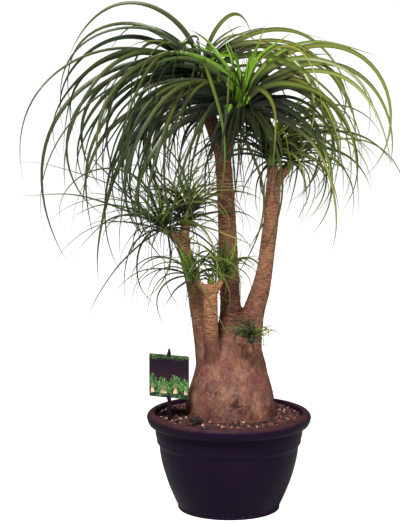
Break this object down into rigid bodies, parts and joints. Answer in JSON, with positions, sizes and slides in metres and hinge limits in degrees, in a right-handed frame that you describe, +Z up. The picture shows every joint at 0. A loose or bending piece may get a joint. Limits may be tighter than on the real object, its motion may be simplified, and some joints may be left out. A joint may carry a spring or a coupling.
{
  "type": "potted ponytail palm",
  "caption": "Potted house plant with a swollen woody foot, forked stems and arching strap leaves, in a round rimmed plastic pot of potting mix with a plant label on a stake.",
  "frame": {"origin": "centre of the pot's flat underside, on the surface that the pot stands on", "axes": "+Z up along the pot's axis, +X to the right seen from the front, +Y to the back; the label stands at -X towards the front"},
  "size_m": [0.7053, 0.4605, 0.894],
  "materials": {
    "pot": "matt black-violet moulded plastic, browner and a little shinier on the rim",
    "potting_mix": "dark red-brown bark mix with pale grains",
    "bark": "rough red-brown bark with leaf scars",
    "bark_chunk": "rough dark bark",
    "leaf": "olive green, satin",
    "label_card": "printed plastic card, dark with green bands",
    "label_stake": "dark moulded plastic"
  },
  "bodies": {
    "root": {"pot": "pot", "soil": "potting_mix", "trunk": "bark", "bark_chunk": "bark_chunk", "label_card": "label_card", "label_stake": "label_stake", "crown_front": "leaf", "crown_back": "leaf", "crown_right": "leaf", "crown_right_fine": "leaf", "crown_left": "leaf", "crown_left_upper": "leaf", "tuft_left_stem": "leaf", "tuft_centre_stem": "leaf", "tuft_stub": "leaf", "tuft_base": "leaf"}
  },
  "joints": []
}
